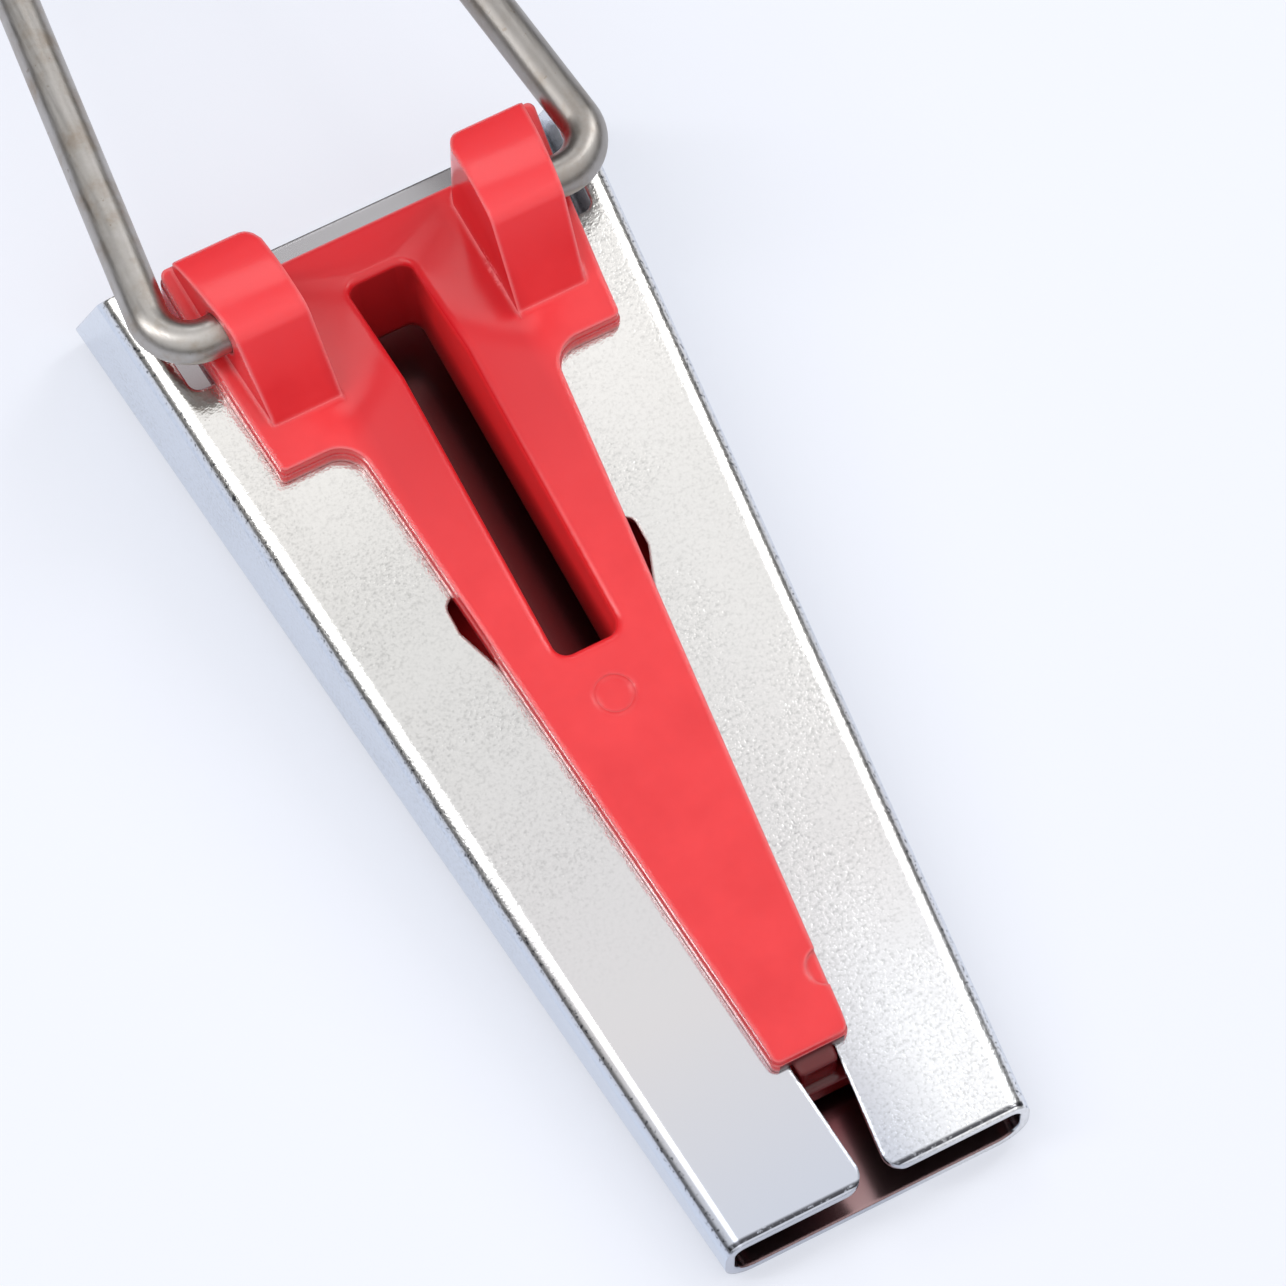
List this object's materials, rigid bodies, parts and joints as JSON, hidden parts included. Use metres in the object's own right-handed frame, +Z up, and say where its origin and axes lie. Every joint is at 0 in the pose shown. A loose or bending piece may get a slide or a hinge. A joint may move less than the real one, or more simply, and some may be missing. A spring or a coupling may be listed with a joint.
{
  "type": "bias tape maker",
  "caption": "Tapered folded sheet steel tube with a plastic guide in its slit and a hinged wire bail, for folding a strip of cloth into bias tape.",
  "frame": {"origin": "centre of the underside of the bottom plate", "axes": "+Y from the narrow mouth to the wide end, +Z up, +X across the tool"},
  "size_m": [0.022, 0.0747, 0.0117],
  "materials": {
    "plated_sheet": "bright nickel plate with a fine grain",
    "red_plastic": "glossy, slightly translucent moulding",
    "steel_wire": "drawn wire, bright"
  },
  "bodies": {
    "tube": {"body_shell": "plated_sheet", "guide": "red_plastic"},
    "handle": {"bail": "steel_wire"}
  },
  "joints": [
    {"name": "bail_hinge", "type": "hinge", "parent": "tube", "child": "handle", "pos_m": [0, 0.0173, 0.0102], "axis": [1, 0, 0], "range_deg": [-14, 187]}
  ]
}
